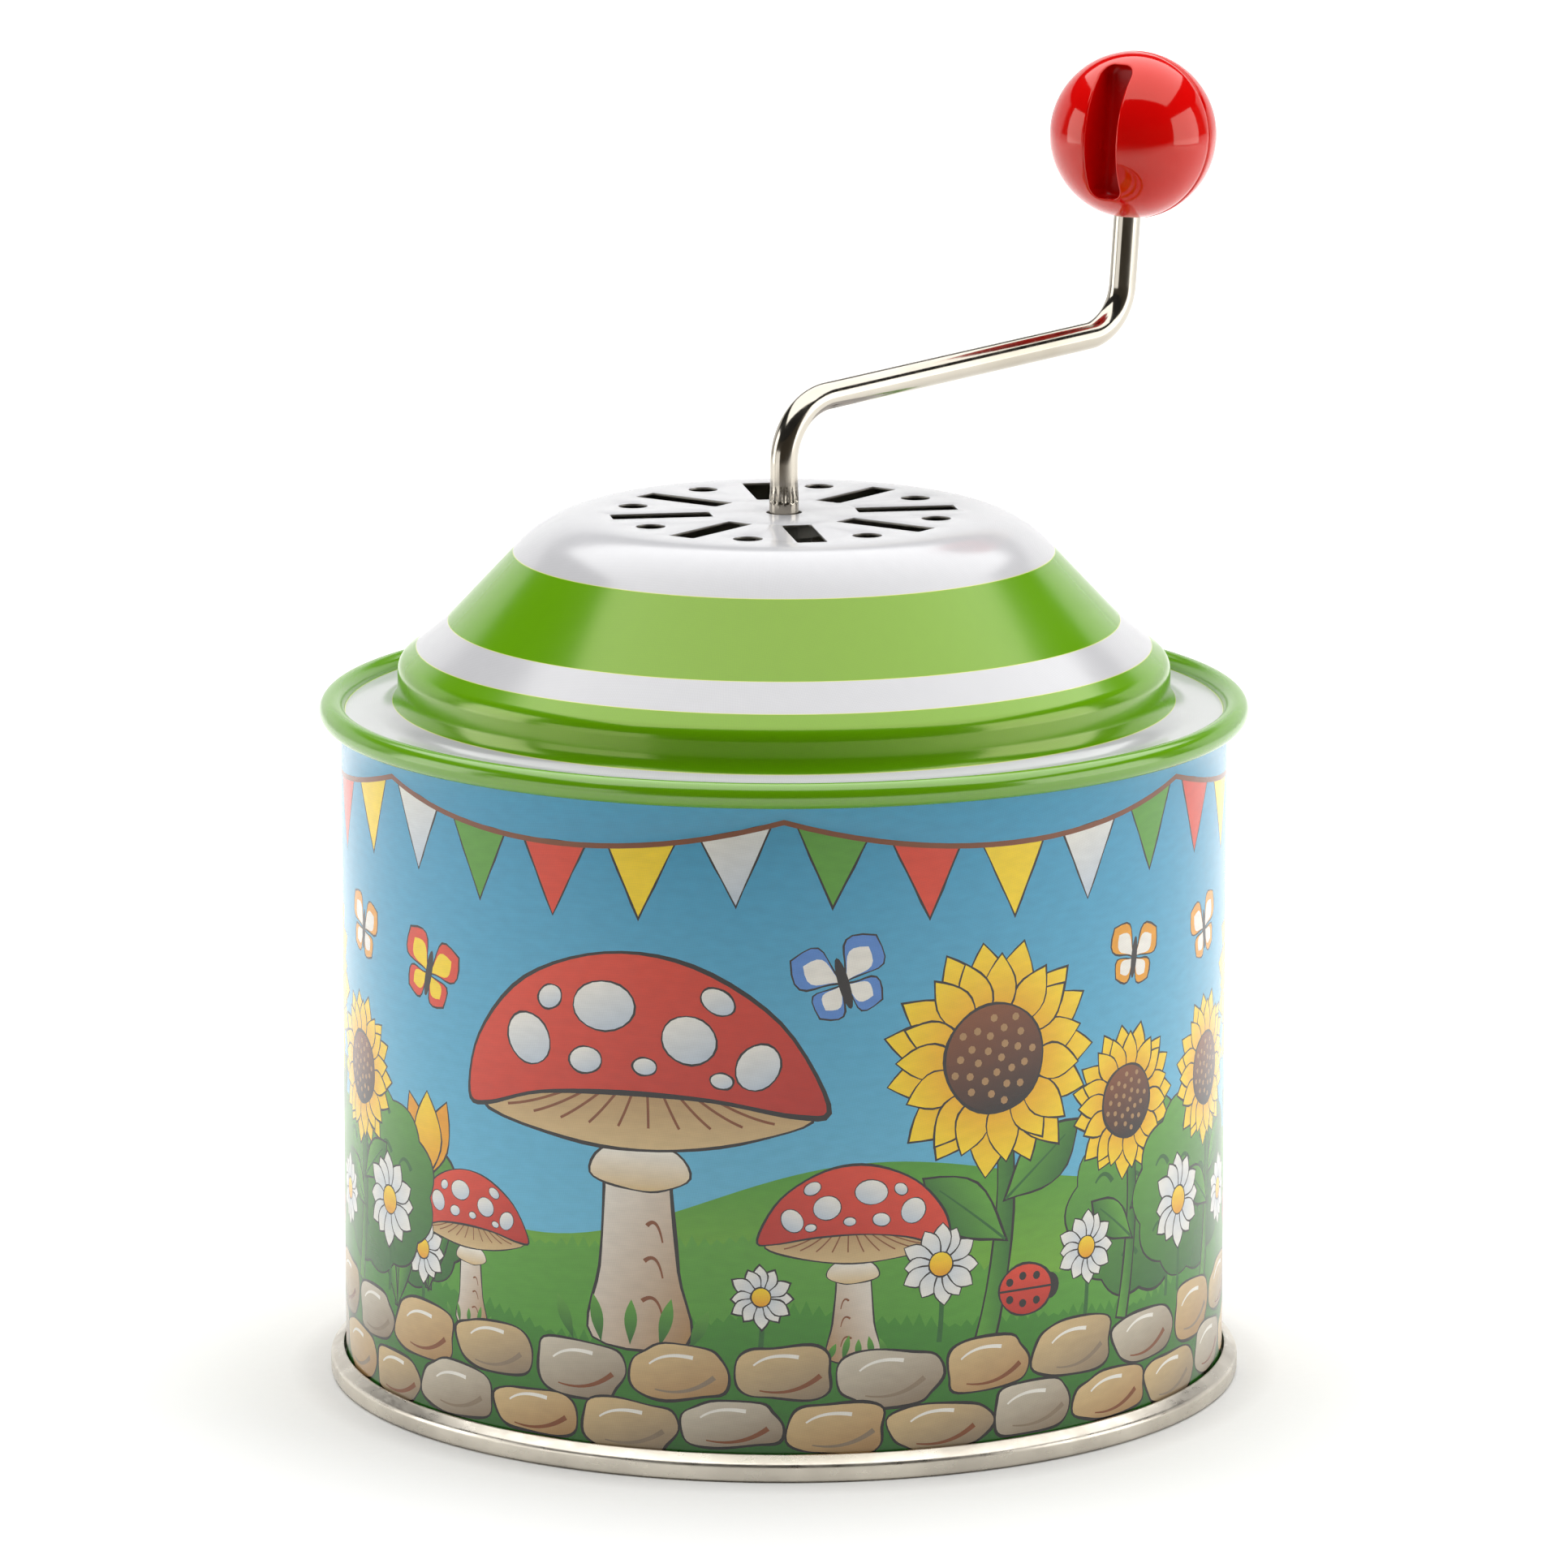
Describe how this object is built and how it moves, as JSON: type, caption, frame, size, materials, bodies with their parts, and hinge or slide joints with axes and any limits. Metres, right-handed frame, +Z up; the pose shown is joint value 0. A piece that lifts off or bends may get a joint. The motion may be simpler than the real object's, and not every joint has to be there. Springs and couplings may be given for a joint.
{
  "type": "hand-cranked music tin",
  "caption": "Round printed tinplate can with a stepped domed lid, sound slots and a bent wire crank with a ball knob that turns a pinned barrel against a steel comb.",
  "frame": {"origin": "on the can's axis, at the height of the surface that the seam stands on", "axes": "+Z up along the can's axis; -Y faces the viewer; at rest the crank's arm points 42 degrees from +X towards +Y"},
  "size_m": [0.1048, 0.1048, 0.146],
  "materials": {
    "body_can": "gloss printed tinplate",
    "bottom_plate": "bright tinplate, double seamed",
    "dome_lid": "gloss printed tinplate",
    "bedplate": "die-cast, matt",
    "music_comb": "hardened, ground",
    "arbor_bracket_left": "pressed sheet",
    "arbor_bracket_right": "pressed sheet",
    "spindle_bridge": "pressed sheet",
    "screws": "zinc plated screws",
    "crank_wire": "nickel plate, polished",
    "drive_sleeve": "moulded",
    "worm_shaft": "ground",
    "worm": "moulded",
    "spindle_clip": "spring steel",
    "crank_knob": "moulded, glossy",
    "worm_wheel": "moulded",
    "pinned_barrel": "turned, pinned",
    "barrel_cap": "turned",
    "barrel_arbor": "ground"
  },
  "bodies": {
    "tin": {"body_can": "body_can", "bottom_plate": "bottom_plate", "dome_lid": "dome_lid", "bedplate": "bedplate", "music_comb": "music_comb", "arbor_bracket_left": "arbor_bracket_left", "arbor_bracket_right": "arbor_bracket_right", "spindle_bridge": "spindle_bridge", "bracket_screw_left": "screws", "bracket_screw_right": "screws", "bridge_screw": "screws", "comb_screw_1": "screws", "comb_screw_2": "screws", "base_screw_1": "screws", "base_screw_2": "screws", "base_screw_3": "screws"},
    "crank": {"crank_wire": "crank_wire", "drive_sleeve": "drive_sleeve", "worm_shaft": "worm_shaft", "worm": "worm", "spindle_clip": "spindle_clip"},
    "knob": {"crank_knob": "crank_knob"},
    "barrel": {"worm_wheel": "worm_wheel", "pinned_barrel": "pinned_barrel", "barrel_cap": "barrel_cap", "barrel_arbor": "barrel_arbor"}
  },
  "joints": [
    {"name": "crank_turn", "type": "hinge", "parent": "tin", "child": "crank", "pos_m": [0, 0, 0.09865], "axis": [0, 0, 1], "continuous": true},
    {"name": "knob_spin", "type": "hinge", "parent": "crank", "child": "knob", "pos_m": [0.04022, 0.03621, 0.13639], "axis": [0.0645, 0.0581, 0.9962], "continuous": true},
    {"name": "barrel_turn", "type": "hinge", "parent": "tin", "child": "barrel", "pos_m": [0.0141, 0.0106, 0.024], "axis": [1, 0, 0], "continuous": true}
  ],
  "couplings": [
    {"joint": "barrel_turn", "follows": "crank_turn", "ratio": 0.038462}
  ]
}
